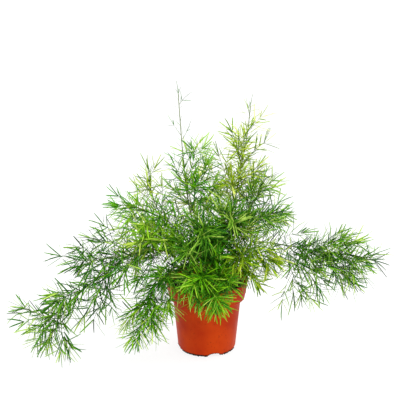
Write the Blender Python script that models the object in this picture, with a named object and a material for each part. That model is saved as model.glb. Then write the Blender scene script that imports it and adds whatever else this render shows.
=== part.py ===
"""Asparagus fern in a terracotta-coloured plastic pot.

The pot stands on z = 0 with its axis on Z and the front of the plant towards -Y. Every frond is one grown
piece: a main stem, side branches that leave it by a golden-angle rule, and whorls of needles raised from
the faces of both. The fronds stand in holes in the potting mix.
"""
import math
import random
from typing import NamedTuple

import bmesh
import bpy
import numpy as np
from mathutils import Matrix

# Pot, in metres
POT_HEIGHT = 0.106
RIM_RADIUS = 0.060
BAND_HEIGHT = 0.027
BAND_FOOT_RADIUS = 0.0552
BODY_TOP_RADIUS = 0.0496
BODY_FOOT_RADIUS = 0.0425
FOOT_ROUNDING = 0.006
POT_WALL = 0.0013
EDGE_ROUNDING = 0.0005
POT_SIDES = 36

# Drainage channels under the base, which open as arched notches in the wall
DRAIN_COUNT = 4
DRAIN_TURN = math.radians(15)
DRAIN_WIDTH = 0.019
DRAIN_HEIGHT = 0.006
DRAIN_START = 0.018
DRAIN_HOLE_RADIUS = 0.0035
DRAIN_HOLE_PLACE = 0.030
ARCH_POINTS = 6

# Potting mix, with lumps whose waves are given in radians a metre
MIX_DEPTH_UNDER_RIM = 0.013
MIX_LUMP = 0.0012
MIX_WAVES = (190.0, 230.0)
MIX_SIDES = 24
TOUCH_GAP = 0.0003

# Main stems and side branches
STEM_FOOT = 0.080
STEM_RADIUS = 0.00115
STEM_TIP_RADIUS = 0.00075
STEM_SIDES = 4
BRANCH_RADIUS = 0.00085
BRANCH_TIP_RADIUS = 0.00065
BRANCH_SIDES = 3
BRANCH_BARE = 0.006
BRANCH_LEAN = (34, 58)
BRANCH_SWING = 0.5
BRANCH_FORWARD = 0.35
BRANCH_SAG = 0.16
BRANCH_LENGTHS = (0.80, 1.0)
TIP_SHORTENING = 0.72
GOLDEN_ANGLE = math.radians(137.5)
BARE_PITCH = 0.013

# Needles, at their true length, in whorls along every stem
WHORL_PITCH = 0.024
NEEDLES_PER_WHORL = 5
NEEDLE_LENGTH = 0.024
NEEDLE_LENGTHS = (0.84, 1.0)
NEEDLE_ROOT = 0.0024
NEEDLE_LEAN = (26, 60)
NEEDLE_SWING = 0.3
YOUNG_NEEDLE = 0.5

# How far new growth stays from what is there, and how often it is tried another way
BRANCH_CLEARANCE = 0.0035
BRANCH_TRIES = 14
BRANCH_RETRY_LENGTH = 0.94
BRANCH_SHORTEST = 0.010
BRANCH_RETRY_SWING = 0.2
NEEDLE_CLEARANCE = 0.0022
NEEDLE_TRIES = 8
ROOT_ALLOWANCE = 0.004
FLOOR_CLEARANCE = 0.0015
BRANCH_SEED = 100
NEEDLE_SEED = 200

# Colours, linear
POT_COLOUR = (0.48, 0.075, 0.022, 1.0)
MIX_COLOUR = (0.022, 0.013, 0.008, 1.0)
DEEP_GREEN = (0.035, 0.105, 0.018, 1.0)
FRESH_GREEN = (0.075, 0.215, 0.018, 1.0)
YELLOW_GREEN = (0.200, 0.330, 0.025, 1.0)


class Frond(NamedTuple):
    """One frond: the points of its main stem, and how it branches.

    branches is the number of side branches, reach the length of the longest, bare the share of the stem
    that carries none at its foot, and young the share at its end that carries none yet and has short needles.
    A spray is a long side branch: the share of the stem at which it leaves, and the points it goes through.
    """
    name: str
    colour: tuple
    branches: int
    reach: float
    bare: float
    young: float
    route: list
    sprays: list = []


FRONDS = [
    Frond("frond_left_long", DEEP_GREEN, 9, 0.066, 0.28, 0.02, [
        (-0.015, -0.006, 0.094), (-0.044, -0.026, 0.146), (-0.079, -0.046, 0.166), (-0.114, -0.061, 0.157),
        (-0.148, -0.070, 0.134), (-0.181, -0.076, 0.107), (-0.216, -0.078, 0.080), (-0.253, -0.076, 0.092)],
        sprays=[
            (0.42, [(-0.150, -0.056, 0.153), (-0.176, -0.054, 0.153), (-0.202, -0.052, 0.158)]),
            (0.54, [(-0.149, -0.088, 0.126), (-0.151, -0.095, 0.113)]),
            (0.72, [(-0.195, -0.084, 0.082), (-0.199, -0.090, 0.058), (-0.190, -0.094, 0.040)]),
            (0.84, [(-0.227, -0.068, 0.060), (-0.238, -0.062, 0.036)]),
            (0.30, [(-0.134, -0.046, 0.176), (-0.160, -0.042, 0.180)])]),
    Frond("frond_left_low", FRESH_GREEN, 9, 0.050, 0.25, 0.02, [
        (-0.016, -0.014, 0.094), (-0.041, -0.034, 0.138), (-0.061, -0.052, 0.138), (-0.073, -0.066, 0.120),
        (-0.081, -0.074, 0.092), (-0.090, -0.078, 0.066), (-0.096, -0.078, 0.046)],
        sprays=[
            (0.48, [(-0.059, -0.076, 0.116), (-0.052, -0.086, 0.094)])]),
    Frond("frond_left_near", FRESH_GREEN, 7, 0.046, 0.30, 0.03, [
        (-0.015, 0.003, 0.094), (-0.044, -0.008, 0.154), (-0.069, -0.020, 0.170), (-0.088, -0.030, 0.165),
        (-0.102, -0.036, 0.148)]),
    Frond("frond_left_mid", FRESH_GREEN, 8, 0.054, 0.22, 0.02, [
        (-0.009, 0.005, 0.094), (-0.036, -0.004, 0.163), (-0.066, -0.014, 0.200), (-0.095, -0.022, 0.218),
        (-0.122, -0.026, 0.224)]),
    Frond("frond_left_high", YELLOW_GREEN, 8, 0.050, 0.24, 0.03, [
        (-0.008, 0.014, 0.094), (-0.039, 0.018, 0.150), (-0.062, 0.022, 0.185), (-0.078, 0.024, 0.221),
        (-0.084, 0.024, 0.262)]),
    Frond("frond_tall_left", FRESH_GREEN, 8, 0.050, 0.20, 0.40, [
        (-0.003, 0.006, 0.094), (-0.018, 0.006, 0.174), (-0.028, 0.005, 0.228), (-0.033, 0.005, 0.275),
        (-0.037, 0.005, 0.328), (-0.040, 0.005, 0.374)],
        sprays=[
            (0.58, [(-0.021, 0.002, 0.274), (-0.013, 0.000, 0.308)]),
            (0.50, [(-0.012, -0.004, 0.248), (0.003, -0.008, 0.276)]),
            (0.40, [(-0.002, 0.010, 0.222), (0.014, 0.012, 0.246)])]),
    Frond("frond_tall_right", YELLOW_GREEN, 8, 0.052, 0.20, 0.10, [
        (0.008, 0.009, 0.094), (0.022, 0.010, 0.164), (0.038, 0.011, 0.213), (0.047, 0.012, 0.263),
        (0.056, 0.012, 0.314), (0.060, 0.012, 0.355)],
        sprays=[
            (0.70, [(0.041, 0.006, 0.302), (0.034, 0.002, 0.322)]),
            (0.68, [(0.067, 0.017, 0.292), (0.081, 0.021, 0.302)]),
            (0.44, [(0.027, 0.020, 0.252), (0.017, 0.026, 0.282)]),
            (0.45, [(0.058, 0.016, 0.240), (0.072, 0.018, 0.266)])]),
    Frond("frond_right_high", DEEP_GREEN, 8, 0.054, 0.22, 0.03, [
        (0.015, 0.001, 0.094), (0.034, -0.003, 0.160), (0.055, -0.007, 0.203), (0.070, -0.008, 0.232),
        (0.079, -0.008, 0.256)]),
    Frond("frond_right_long", DEEP_GREEN, 9, 0.058, 0.40, 0.02, [
        (0.016, -0.008, 0.094), (0.044, -0.022, 0.150), (0.076, -0.034, 0.171), (0.115, -0.042, 0.169),
        (0.156, -0.047, 0.163), (0.195, -0.049, 0.158), (0.231, -0.048, 0.150)],
        sprays=[
            (0.43, [(0.110, -0.050, 0.145), (0.125, -0.054, 0.119), (0.143, -0.056, 0.096)]),
            (0.51, [(0.136, -0.062, 0.140), (0.157, -0.070, 0.112)]),
            (0.64, [(0.178, -0.060, 0.142), (0.198, -0.066, 0.124)]),
            (0.60, [(0.172, -0.038, 0.174), (0.196, -0.032, 0.180)])]),
    Frond("frond_right_rear", FRESH_GREEN, 6, 0.046, 0.28, 0.03, [
        (0.013, 0.010, 0.094), (0.044, 0.014, 0.150), (0.068, 0.020, 0.182), (0.089, 0.026, 0.195),
        (0.108, 0.028, 0.198)]),
    Frond("frond_front", FRESH_GREEN, 9, 0.046, 0.30, 0.02, [
        (0.001, -0.016, 0.094), (0.001, -0.036, 0.134), (0.001, -0.058, 0.142), (0.002, -0.080, 0.132),
        (0.003, -0.100, 0.114)],
        sprays=[
            (0.52, [(0.008, -0.070, 0.158), (0.014, -0.084, 0.170)])]),
    Frond("frond_front_left", DEEP_GREEN, 6, 0.040, 0.34, 0.03, [
        (-0.008, -0.018, 0.094), (-0.018, -0.042, 0.134), (-0.029, -0.064, 0.146), (-0.037, -0.080, 0.138),
        (-0.042, -0.092, 0.122)]),
    Frond("frond_front_right", YELLOW_GREEN, 7, 0.046, 0.24, 0.03, [
        (0.010, -0.014, 0.094), (0.029, -0.036, 0.146), (0.053, -0.056, 0.165), (0.075, -0.068, 0.165),
        (0.093, -0.074, 0.156)],
        sprays=[
            (0.46, [(0.050, -0.066, 0.146), (0.064, -0.078, 0.132)])]),
    Frond("frond_centre_left", DEEP_GREEN, 7, 0.048, 0.22, 0.03, [
        (-0.006, -0.008, 0.094), (-0.010, -0.028, 0.148), (-0.010, -0.050, 0.186), (-0.005, -0.078, 0.207)]),
    Frond("frond_centre_right", DEEP_GREEN, 7, 0.052, 0.22, 0.03, [
        (0.006, -0.006, 0.094), (0.018, -0.026, 0.156), (0.028, -0.038, 0.196), (0.034, -0.046, 0.220)]),
    Frond("frond_back_left", DEEP_GREEN, 6, 0.058, 0.28, 0.03, [
        (-0.014, 0.013, 0.094), (-0.044, 0.042, 0.148), (-0.076, 0.070, 0.166), (-0.106, 0.092, 0.158),
        (-0.130, 0.106, 0.136)]),
    Frond("frond_back", FRESH_GREEN, 6, 0.056, 0.28, 0.03, [
        (0.001, 0.020, 0.094), (0.004, 0.054, 0.158), (0.002, 0.092, 0.190), (-0.002, 0.126, 0.194),
        (-0.006, 0.154, 0.178)]),
    Frond("frond_back_right", DEEP_GREEN, 6, 0.052, 0.28, 0.03, [
        (0.013, 0.017, 0.094), (0.041, 0.046, 0.152), (0.070, 0.074, 0.178), (0.092, 0.096, 0.178),
        (0.109, 0.112, 0.161)]),
    Frond("frond_rear_left", YELLOW_GREEN, 6, 0.050, 0.22, 0.04, [
        (-0.006, 0.022, 0.094), (-0.016, 0.050, 0.172), (-0.028, 0.076, 0.220), (-0.034, 0.094, 0.248)]),
    Frond("frond_rear_right", FRESH_GREEN, 7, 0.052, 0.22, 0.04, [
        (0.007, 0.024, 0.094), (0.022, 0.054, 0.172), (0.042, 0.080, 0.222), (0.054, 0.098, 0.246)]),
]


def clear_scene():
    """Remove every object that the file opens with."""
    for thing in list(bpy.data.objects):
        bpy.data.objects.remove(thing, do_unlink=True)


def finish(name, colour, roughness):
    """A plain finish with one colour and one roughness."""
    material = bpy.data.materials.new(name)
    material.use_nodes = True
    shader = material.node_tree.nodes["Principled BSDF"]
    shader.inputs["Base Color"].default_value = colour
    shader.inputs["Roughness"].default_value = roughness
    shader.inputs["Metallic"].default_value = 0.0
    return material


def new_object(name, mesh):
    """Put a mesh in the scene under a name."""
    thing = bpy.data.objects.new(name, mesh)
    bpy.context.scene.collection.objects.link(thing)
    return thing


def mark_as_cutter(thing):
    """Keep an object as a guide that cuts others and isn't part of the plant."""
    thing.hide_render = True
    thing.display_type = "WIRE"
    return thing


def cut(thing, cutter):
    """Take the cutter's form out of an object."""
    modifier = thing.modifiers.new("cut " + cutter.name, "BOOLEAN")
    modifier.operation = "DIFFERENCE"
    modifier.solver = "EXACT"
    modifier.object = cutter


def turned(name, profile, sides):
    """A closed form turned about Z from a profile of (radius, height) that runs from axis to axis."""
    form = bmesh.new()
    line = [form.verts.new((radius, 0.0, height)) for radius, height in profile]
    edges = [form.edges.new(pair) for pair in zip(line, line[1:])]
    bmesh.ops.spin(form, geom=line + edges, axis=(0, 0, 1), cent=(0, 0, 0),
                   angle=2 * math.pi, steps=sides, use_merge=True, use_duplicate=False)
    bmesh.ops.remove_doubles(form, verts=form.verts, dist=1e-6)
    bmesh.ops.recalc_face_normals(form, faces=form.faces)
    mesh = bpy.data.meshes.new(name)
    form.to_mesh(mesh)
    form.free()
    return new_object(name, mesh)


def arc(centre_radius, centre_height, radius, start, end, points):
    """Points of (radius, height) on an arc of the profile, with its angles in degrees."""
    angles = [math.radians(start + (end - start) * i / (points - 1)) for i in range(points)]
    return [(centre_radius + radius * math.cos(a), centre_height + radius * math.sin(a)) for a in angles]


def band_radius(height):
    """The radius of the band's outer face at a height; it flares up to the rim."""
    share = (height - POT_HEIGHT) / BAND_HEIGHT
    return RIM_RADIUS + (RIM_RADIUS - BAND_FOOT_RADIUS) * share


def wall_line(inset):
    """The pot's outer line from foot to band, moved in by the inset: rounded foot, body and step."""
    step = POT_HEIGHT - BAND_HEIGHT + inset
    rounding = FOOT_ROUNDING - inset
    foot = arc(BODY_FOOT_RADIUS - FOOT_ROUNDING, FOOT_ROUNDING, rounding, -90, -4, 4)
    return foot + [(BODY_TOP_RADIUS - inset, step), (band_radius(step) - inset, step)]


def make_cavity():
    """The room inside the pot, with the humps over its drainage channels left standing."""
    above = POT_HEIGHT + BAND_HEIGHT
    profile = [(0.0, POT_WALL)] + wall_line(POT_WALL) + [(band_radius(above) - POT_WALL, above), (0.0, above)]
    room = turned("pot_cavity", profile, POT_SIDES)
    for index in range(DRAIN_COUNT):
        cut(room, arched_channel("pot_hump_%d" % index, index, POT_WALL))
    return mark_as_cutter(room)


def arched_channel(name, index, grown):
    """One arched channel under the base, running out from near the axis, and grown all round by a wall."""
    half_width = DRAIN_WIDTH / 2 + grown
    height = DRAIN_HEIGHT + grown
    start = DRAIN_START - grown
    arch = [(-half_width, -DRAIN_HEIGHT)]
    for i in range(ARCH_POINTS + 1):
        angle = math.pi * (1 - i / ARCH_POINTS)
        arch.append((half_width * math.cos(angle), height * math.sin(angle) ** 0.6))
    arch.append((half_width, -DRAIN_HEIGHT))
    turn = DRAIN_TURN + index * 2 * math.pi / DRAIN_COUNT
    form = bmesh.new()
    outline = [form.verts.new((start, y, z)) for y, z in arch]
    face = form.faces.new(outline)
    pushed = bmesh.ops.extrude_face_region(form, geom=[face])
    far = [item for item in pushed["geom"] if isinstance(item, bmesh.types.BMVert)]
    bmesh.ops.translate(form, verts=far, vec=(RIM_RADIUS - start, 0, 0))
    bmesh.ops.recalc_face_normals(form, faces=form.faces)
    bmesh.ops.rotate(form, verts=form.verts, cent=(0, 0, 0), matrix=Matrix.Rotation(turn, 3, "Z"))
    mesh = bpy.data.meshes.new(name)
    form.to_mesh(mesh)
    form.free()
    return mark_as_cutter(new_object(name, mesh))


def make_pot():
    """The pot: a turned form, hollowed, with channels and drain holes cut from below."""
    profile = [(0.0, 0.0)] + wall_line(0.0) + [
        (RIM_RADIUS, POT_HEIGHT - EDGE_ROUNDING), (RIM_RADIUS - EDGE_ROUNDING, POT_HEIGHT), (0.0, POT_HEIGHT)]
    pot = turned("pot", profile, POT_SIDES)
    cut(pot, make_cavity())
    for index in range(DRAIN_COUNT):
        cut(pot, arched_channel("drain_channel_%d" % index, index, 0.0))
        cut(pot, make_drain_hole(index))
    pot.data.materials.append(finish("terracotta plastic", POT_COLOUR, 0.38))
    pot.data.shade_smooth()
    pot.data.set_sharp_from_angle(angle=math.radians(35))


def make_drain_hole(index):
    """A round hole through the roof of one drainage channel."""
    turn = DRAIN_TURN + index * 2 * math.pi / DRAIN_COUNT
    form = bmesh.new()
    bmesh.ops.create_cone(form, cap_ends=True, segments=8, radius1=DRAIN_HOLE_RADIUS,
                          radius2=DRAIN_HOLE_RADIUS, depth=DRAIN_HEIGHT * 4)
    bmesh.ops.translate(form, verts=form.verts, vec=(DRAIN_HOLE_PLACE * math.cos(turn),
                                                     DRAIN_HOLE_PLACE * math.sin(turn), 0.0))
    mesh = bpy.data.meshes.new("drain_hole")
    form.to_mesh(mesh)
    form.free()
    return mark_as_cutter(new_object("drain_hole_%d" % index, mesh))


def make_mix(stems):
    """The potting mix: it fills the pot to under the rim and holds each stem in a hole of its own."""
    inset = POT_WALL + TOUCH_GAP
    top = POT_HEIGHT - MIX_DEPTH_UNDER_RIM
    edge = band_radius(top) - inset
    rings = [(edge * share, top) for share in (1.0, 0.75, 0.5, 0.25)]
    mix = turned("potting_mix", [(0.0, inset)] + wall_line(inset) + rings + [(0.0, top)], MIX_SIDES)
    for vertex in mix.data.vertices:
        x, y, z = vertex.co
        if z > top - TOUCH_GAP and math.hypot(x, y) < edge - TOUCH_GAP:
            vertex.co.z += MIX_LUMP * math.sin(x * MIX_WAVES[0] + 1) * math.cos(y * MIX_WAVES[1])
    for index in range(DRAIN_COUNT):
        cut(mix, arched_channel("mix_hump_%d" % index, index, inset))
    holes = bpy.data.collections.new("stem holes")
    for stem in stems:
        holes.objects.link(make_stem_hole(stem))
    modifier = mix.modifiers.new("stem holes", "BOOLEAN")
    modifier.operation = "DIFFERENCE"
    modifier.solver = "EXACT"
    modifier.operand_type = "COLLECTION"
    modifier.collection = holes
    mix.data.materials.append(finish("potting mix", MIX_COLOUR, 0.95))


def smooth_line(points):
    """A fine line on the smooth curve (Catmull-Rom) through the given points."""
    knots = np.array(points)
    knots = np.vstack([2 * knots[0] - knots[1], knots, 2 * knots[-1] - knots[-2]])
    t = np.linspace(0, 1, 16, endpoint=False)[:, None]
    pieces = []
    for a, b, c, d in zip(knots, knots[1:], knots[2:], knots[3:]):
        pieces.append(0.5 * (2 * b + (c - a) * t + (2 * a - 5 * b + 4 * c - d) * t ** 2
                             + (3 * b - a - 3 * c + d) * t ** 3))
    return np.vstack(pieces + [knots[-2:-1]])


class Stem:
    """A tapering stem: rings on a smooth line, with straight runs between, two of them at each whorl.

    It is bare for a length at its foot, and the share young at its end has short needles.
    """

    def __init__(self, line, root_radius, tip_radius, sides, bare, young):
        steps = np.linalg.norm(np.diff(line, axis=0), axis=1)
        lengths = np.concatenate([[0.0], np.cumsum(steps)])
        self.length = lengths[-1]
        self.sides = sides
        self.young = young
        room = self.length - bare
        count = max(1, round(room / WHORL_PITCH))
        self.whorls = bare + room * (np.arange(count) + 0.4) / count
        foot = np.arange(0.0, self.whorls[0] - BARE_PITCH / 2, BARE_PITCH)
        pairs = (self.whorls[:, None] + np.array([-0.5, 0.5]) * NEEDLE_ROOT).ravel()
        self.foot_rings = len(foot)
        self.distances = np.concatenate([foot, pairs, [self.length]])
        self.radii = root_radius + (tip_radius - root_radius) * self.distances / self.length
        self.rings = np.stack([np.interp(self.distances, lengths, line[:, k]) for k in range(3)], axis=1)
        self.turn_frames()

    def turn_frames(self):
        """The direction at each ring, and two crosswise ones carried along without twist."""
        ahead = np.gradient(self.rings, axis=0)
        self.ahead = ahead / np.linalg.norm(ahead, axis=1)[:, None]
        self.across = np.zeros_like(self.ahead)
        side = np.cross(self.ahead[0], (0.31, 0.95, 0.05))
        for i, direction in enumerate(self.ahead):
            side = side - direction * side.dot(direction)
            side /= np.linalg.norm(side)
            self.across[i] = side
        self.upright = np.cross(self.ahead, self.across)

    def at(self, distance):
        """The points at some distances along the straight runs between the rings."""
        return np.stack([np.interp(distance, self.distances, self.rings[:, k]) for k in range(3)], axis=-1)

    def end_needle(self):
        """The tip of the needle that the stem ends in."""
        last = self.rings[-1] - self.rings[-2]
        return self.rings[-1] + last / np.linalg.norm(last) * NEEDLE_LENGTH


class Thicket:
    """What has been placed so far, as straight pieces, for keeping new growth clear of it."""

    def __init__(self):
        self.starts = np.zeros((0, 3))
        self.ends = np.zeros((0, 3))

    def add(self, line):
        """Remember a line of points as straight pieces."""
        self.starts = np.vstack([self.starts, line[:-1]])
        self.ends = np.vstack([self.ends, line[1:]])

    def distance(self, points):
        """The least distance from any of the points to anything placed."""
        run = self.ends - self.starts
        offset = points[:, None, :] - self.starts[None]
        share = np.einsum("ijk,jk->ij", offset, run) / np.einsum("jk,jk->j", run, run)
        nearest = self.starts + np.clip(share, 0, 1)[..., None] * run
        return np.linalg.norm(points[:, None, :] - nearest, axis=2).min()


def clear_of_pot(points, gap):
    """True where every point is outside the pot or above the mix, and above the surface it stands on."""
    radius = np.hypot(points[:, 0], points[:, 1])
    height = points[:, 2]
    band = height > POT_HEIGHT - BAND_HEIGHT - gap
    outside = radius > np.where(band, RIM_RADIUS, BODY_TOP_RADIUS) + gap
    above_rim = height > POT_HEIGHT + gap
    over_mix = height > POT_HEIGHT - MIX_DEPTH_UNDER_RIM + MIX_LUMP + gap
    inside = over_mix & (radius < BAND_FOOT_RADIUS - gap)
    return bool(np.all((outside | above_rim | inside) & (height > FLOOR_CLEARANCE)))


def grow_sprays(frond, main, thicket):
    """The long side branches, each on a smooth curve from the main stem through its points."""
    sprays = []
    for share, points in frond.sprays:
        line = smooth_line([tuple(main.at(share * main.length))] + points)
        spray = Stem(line, BRANCH_RADIUS, BRANCH_TIP_RADIUS, BRANCH_SIDES, BRANCH_BARE, 0.0)
        thicket.add(np.vstack([spray.rings, spray.end_needle()]))
        sprays.append(spray)
    return sprays


def grow_branches(frond, main, thicket, rng):
    """Side branches, each turned a golden angle further round the main stem than the last."""
    branches = []
    first = frond.bare * main.length
    last = (1 - frond.young) * main.length
    t = np.linspace(0, 1, 9)[:, None]
    for i in range(frond.branches):
        share = (i + 0.5) / frond.branches
        distance = first + (last - first) * share
        place = main.at(distance)
        ring = np.searchsorted(main.distances, distance) - 1
        ahead = main.ahead[ring]
        bend = BRANCH_FORWARD * ahead - np.array([0.0, 0.0, BRANCH_SAG])
        length = frond.reach * (1 - TIP_SHORTENING * share ** 2) * rng.uniform(*BRANCH_LENGTHS)
        for attempt in range(BRANCH_TRIES):
            swing = BRANCH_SWING + BRANCH_RETRY_SWING * attempt
            turn = i * GOLDEN_ANGLE + rng.uniform(-swing, swing)
            lean = math.radians(rng.uniform(*BRANCH_LEAN))
            outward = main.across[ring] * math.cos(turn) + main.upright[ring] * math.sin(turn)
            start = ahead * math.cos(lean) + outward * math.sin(lean)
            line = place + length * (t * start + t ** 2 * bend)
            branch = Stem(line, BRANCH_RADIUS, BRANCH_TIP_RADIUS, BRANCH_SIDES, BRANCH_BARE, 0.0)
            tip = branch.end_needle()
            probe = np.vstack([branch.at(branch.length * t[2:, 0]), (branch.rings[-1] + tip) / 2, tip])
            if clear_of_pot(probe, BRANCH_CLEARANCE) and thicket.distance(probe) > BRANCH_CLEARANCE:
                branches.append(branch)
                thicket.add(np.vstack([branch.rings, tip]))
                break
            length = max(length * BRANCH_RETRY_LENGTH, BRANCH_SHORTEST)
    return branches


def raise_needles(stem, thicket, rng):
    """The tips of a stem's needles, by ring, side and half of that side.

    Each side of the stem is two triangles at a whorl, and each triangle can be drawn out to one needle.
    """
    tips = {}
    slots = [(side, half) for side in range(stem.sides) for half in (0, 1)]
    for k, distance in enumerate(stem.whorls):
        ring = stem.foot_rings + 2 * k
        place = stem.at(distance)
        inradius = stem.radii[ring] * math.cos(math.pi / stem.sides)
        true_length = NEEDLE_LENGTH * (YOUNG_NEEDLE if distance > stem.length * (1 - stem.young) else 1)
        for side, half in rng.sample(slots, NEEDLES_PER_WHORL):
            middle = 2 * math.pi * (side + (0.25 if half else 0.75)) / stem.sides
            for attempt in range(NEEDLE_TRIES):
                angle = middle + rng.uniform(-NEEDLE_SWING, NEEDLE_SWING)
                lean = math.radians(rng.uniform(*NEEDLE_LEAN))
                length = true_length * rng.uniform(*NEEDLE_LENGTHS)
                outward = stem.across[ring] * math.cos(angle) + stem.upright[ring] * math.sin(angle)
                direction = outward * math.cos(lean) + stem.ahead[ring] * math.sin(lean)
                root = place + outward * inradius
                probe = root + direction * np.linspace(ROOT_ALLOWANCE, length, 10)[:, None]
                if clear_of_pot(probe, NEEDLE_CLEARANCE) and thicket.distance(probe) > NEEDLE_CLEARANCE:
                    tips[ring, side, half] = probe[-1]
                    thicket.add(np.stack([root + direction * ROOT_ALLOWANCE / 2, probe[-1]]))
                    break
    return tips


def tube_mesh(name, stem, rings, grown, tips, end):
    """A closed tube through a stem's first rings, grown by a gap, that closes in a point at its end.

    tips holds needle tips by ring, side and half: that triangle becomes a three-sided spike.
    """
    sides = stem.sides
    angles = 2 * np.pi * np.arange(sides) / sides
    ring = (stem.across[:rings, None] * np.cos(angles)[None, :, None]
            + stem.upright[:rings, None] * np.sin(angles)[None, :, None])
    radii = stem.radii[:rings] + grown / math.cos(math.pi / sides)
    corners = stem.rings[:rings, None] + ring * radii[:, None, None]
    corners[0] -= stem.ahead[0] * grown
    points = [tuple(p) for p in corners.reshape(-1, 3)]
    faces = [tuple(range(sides - 1, -1, -1))]
    for i in range(rings - 1):
        for j in range(sides):
            follow = (j + 1) % sides
            near = (i * sides + j, i * sides + follow)
            far = (near[1] + sides, near[0] + sides)
            for half, triangle in enumerate(((near[0], near[1], far[0]), (near[0], far[0], far[1]))):
                if (i, j, half) not in tips:
                    faces.append(triangle)
                    continue
                points.append(tuple(tips[i, j, half]))
                faces += [(triangle[k], triangle[(k + 1) % 3], len(points) - 1) for k in range(3)]
    last = (rings - 1) * sides
    points.append(tuple(end))
    faces += [(last + j, last + (j + 1) % sides, len(points) - 1) for j in range(sides)]
    mesh = bpy.data.meshes.new(name)
    mesh.from_pydata(points, [], faces)
    return mesh


def make_stem_hole(stem):
    """The hole for a stem: the stem's own form, grown by a gap, from under its foot to over the mix."""
    rings = 4
    end = stem.rings[rings - 1] + stem.ahead[rings - 1] * BARE_PITCH
    return mark_as_cutter(new_object("stem_hole", tube_mesh("stem_hole", stem, rings, TOUCH_GAP, {}, end)))


def keep_main_body(mesh):
    """Drop the loose scraps and fill the sealed hollows that a union can leave."""
    form = bmesh.new()
    form.from_mesh(mesh)
    unseen = set(form.verts)
    bodies = []
    while unseen:
        front = [unseen.pop()]
        body = list(front)
        while front:
            reached = {edge.other_vert(vertex) for vertex in front for edge in vertex.link_edges} & unseen
            unseen -= reached
            front = list(reached)
            body += front
        bodies.append(body)
    bodies.sort(key=len)
    for scrap in bodies[:-1]:
        bmesh.ops.delete(form, geom=scrap, context="VERTS")
    form.to_mesh(mesh)
    form.free()


def fuse(body, repeats):
    """Join a main stem and its branches in one union."""
    group = bpy.data.collections.new(body.name + " branches")
    for item in repeats:
        group.objects.link(item)
    union = body.modifiers.new("branches", "BOOLEAN")
    union.operation = "UNION"
    union.solver = "MANIFOLD"
    union.operand_type = "COLLECTION"
    union.collection = group
    depsgraph = bpy.context.evaluated_depsgraph_get()
    joined = bpy.data.meshes.new_from_object(body.evaluated_get(depsgraph), depsgraph=depsgraph)
    keep_main_body(joined)
    body.modifiers.clear()
    body.data = joined
    for item in repeats:
        bpy.data.objects.remove(item, do_unlink=True)
    bpy.data.collections.remove(group)


def make_frond(frond, stems, thicket, rng):
    """One frond: the meshes of its main stem and its branches, with their needles, fused."""
    meshes = []
    for stem in stems:
        tips = raise_needles(stem, thicket, rng)
        meshes.append(tube_mesh(frond.name, stem, len(stem.rings), 0.0, tips, stem.end_needle()))
    body = new_object(frond.name, meshes[0])
    fuse(body, [bpy.data.objects.new(frond.name + " branch", mesh) for mesh in meshes[1:]])
    body.data.materials.clear()
    body.data.materials.append(finish(frond.name + " green", frond.colour, 0.5))


def make_fronds():
    """Lay out the main stems and sprays, then the branches, then the needles, each clear of what is there."""
    thicket = Thicket()
    mains = []
    for frond in FRONDS:
        x, y, z = frond.route[0]
        line = smooth_line([(x, y, STEM_FOOT)] + frond.route)
        length = np.linalg.norm(np.diff(line, axis=0), axis=1).sum()
        main = Stem(line, STEM_RADIUS, STEM_TIP_RADIUS, STEM_SIDES, frond.bare * length, frond.young)
        thicket.add(np.vstack([main.rings, main.end_needle()]))
        mains.append(main)
    grown = [grow_sprays(frond, main, thicket) for frond, main in zip(FRONDS, mains)]
    for number, (frond, main) in enumerate(zip(FRONDS, mains)):
        grown[number] += grow_branches(frond, main, thicket, random.Random(BRANCH_SEED + number))
    for number, (frond, main, branches) in enumerate(zip(FRONDS, mains, grown)):
        make_frond(frond, [main] + branches, thicket, random.Random(NEEDLE_SEED + number))
    return mains


def main():
    """Build the pot, the fronds and the mix that holds them."""
    clear_scene()
    make_pot()
    make_mix(make_fronds())


main()
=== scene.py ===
"""Asparagus fern in a terracotta-coloured plastic pot: its looks.

Every frond follows the same rule as its solid: a main stem on a smooth curve, and side branches turned a
golden angle further round at each step. Here it carries its finer side twigs and all its needles as well.
"""
import math
import random
from typing import NamedTuple

import bpy
import numpy as np
from mathutils import Matrix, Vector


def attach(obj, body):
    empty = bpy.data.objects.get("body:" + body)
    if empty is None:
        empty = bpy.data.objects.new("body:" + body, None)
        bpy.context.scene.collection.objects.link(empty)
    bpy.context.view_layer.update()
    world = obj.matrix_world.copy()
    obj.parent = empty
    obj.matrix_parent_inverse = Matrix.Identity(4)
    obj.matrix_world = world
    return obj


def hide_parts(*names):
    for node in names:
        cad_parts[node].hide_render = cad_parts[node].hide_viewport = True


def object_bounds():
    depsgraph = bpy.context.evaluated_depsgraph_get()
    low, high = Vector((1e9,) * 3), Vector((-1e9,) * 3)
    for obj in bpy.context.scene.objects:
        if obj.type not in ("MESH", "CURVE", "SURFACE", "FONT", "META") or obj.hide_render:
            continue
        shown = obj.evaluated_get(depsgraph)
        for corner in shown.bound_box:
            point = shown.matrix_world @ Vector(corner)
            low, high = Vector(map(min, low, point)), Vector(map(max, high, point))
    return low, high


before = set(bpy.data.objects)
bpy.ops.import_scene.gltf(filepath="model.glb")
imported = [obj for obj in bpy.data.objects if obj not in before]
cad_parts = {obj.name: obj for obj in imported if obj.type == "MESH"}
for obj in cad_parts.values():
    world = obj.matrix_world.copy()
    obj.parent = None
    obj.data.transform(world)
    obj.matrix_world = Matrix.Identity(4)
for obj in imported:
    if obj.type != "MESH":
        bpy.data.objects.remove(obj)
cad_low, cad_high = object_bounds()

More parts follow.
